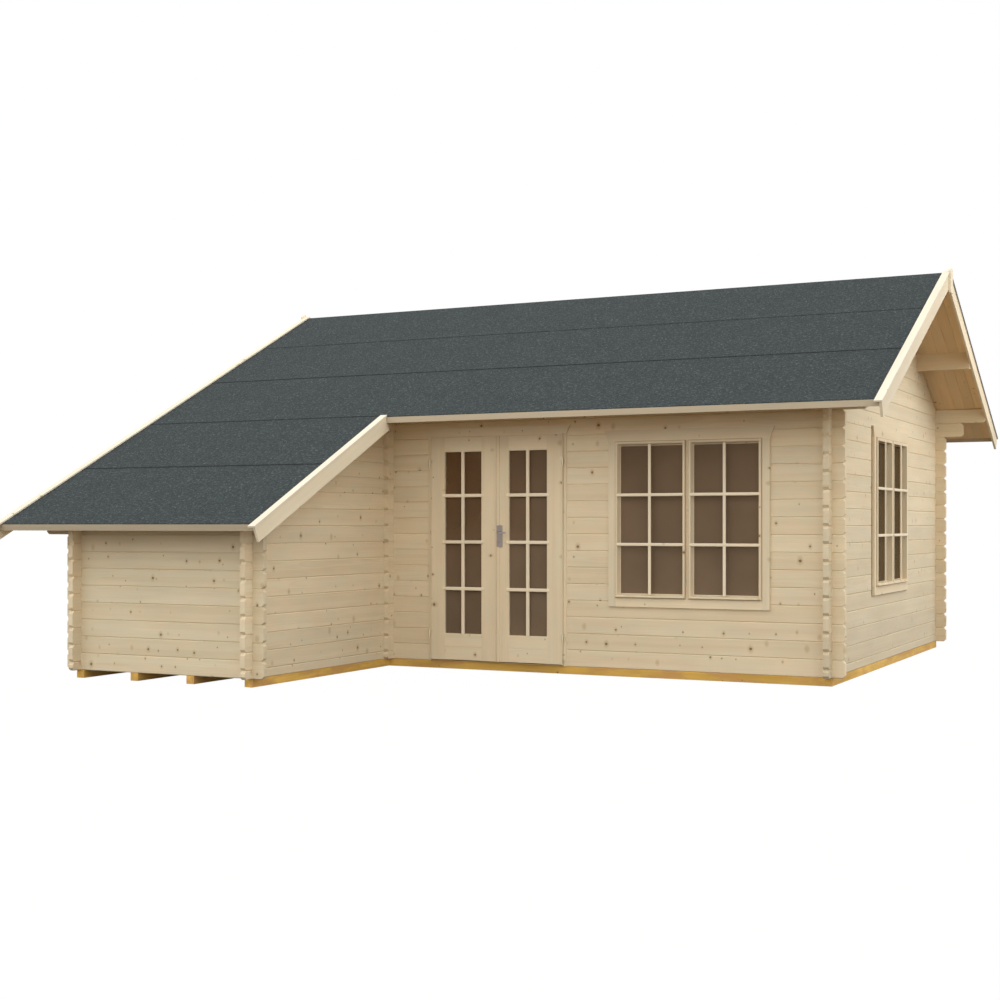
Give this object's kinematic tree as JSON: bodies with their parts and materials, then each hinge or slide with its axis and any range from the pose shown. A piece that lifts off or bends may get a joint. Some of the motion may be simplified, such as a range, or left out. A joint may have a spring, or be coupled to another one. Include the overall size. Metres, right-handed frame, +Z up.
{
  "type": "log cabin with a side store",
  "caption": "Log cabin: a gabled room with a double glazed door and windows, and a low side store under a long roof slope.",
  "frame": {"origin": "middle of the overall box on plan, at the underside of the foundation beams", "axes": "+Z up, +X to the right along the ridge seen from the front, +Y from the front to the back"},
  "size_m": [6.656, 7.104, 3.4317],
  "materials": {
    "logs": "bare sawn pine",
    "joinery": "planed pine",
    "roof_timber": "bare pine boards",
    "treated_timber": "pressure-treated beams",
    "felt": "mineral roofing felt",
    "glass": "clear",
    "metal": "satin"
  },
  "bodies": {
    "cabin": {"store_joists": "treated_timber", "room_joists": "treated_timber", "sill_beams": "treated_timber", "gable_beam": "treated_timber", "room_floor": "joinery", "store_floor": "joinery", "front_wall_left": "logs", "front_wall_right": "logs", "front_wall_top": "logs", "right_gable_wall": "logs", "back_wall": "logs", "left_gable_wall": "logs", "store_front_wall": "logs", "store_side_wall": "logs", "cross_wall_front": "logs", "cross_wall_back": "logs", "cross_wall_top": "logs", "door_jambs": "joinery", "door_head": "joinery", "door_stops": "joinery", "threshold": "joinery", "hinge_pins": "metal", "front_window_frame": "joinery", "front_window_sashes": "joinery", "front_window_glass": "glass", "gable_window_frame": "joinery", "gable_window_sashes": "joinery", "gable_window_glass": "glass", "ridge_purlin": "roof_timber", "side_purlins": "roof_timber", "roof_boards_front": "roof_timber", "roof_boards_store": "roof_timber", "roof_boards_back": "roof_timber", "roof_felt_front": "felt", "roof_felt_store": "felt", "roof_felt_back": "felt", "eave_fascias": "roof_timber", "barge_boards_front": "roof_timber", "barge_boards_back": "roof_timber", "barge_caps_front": "roof_timber", "barge_caps_back": "roof_timber", "finials": "roof_timber"},
    "left_door": {"door_glass_left": "glass", "door_leaf_left": "joinery", "hinge_straps_left": "metal"},
    "right_door": {"door_glass_right": "glass", "door_handle": "metal", "door_leaf_right": "joinery", "hinge_straps_right": "metal"}
  },
  "joints": [
    {"name": "left_door_hinge", "type": "hinge", "parent": "cabin", "child": "left_door", "pos_m": [-0.637, -1.208, 0.277], "axis": [0, 0, -1], "range_deg": [0, 100]},
    {"name": "right_door_hinge", "type": "hinge", "parent": "cabin", "child": "right_door", "pos_m": [0.603, -1.208, 0.277], "axis": [0, 0, 1], "range_deg": [0, 100]}
  ]
}
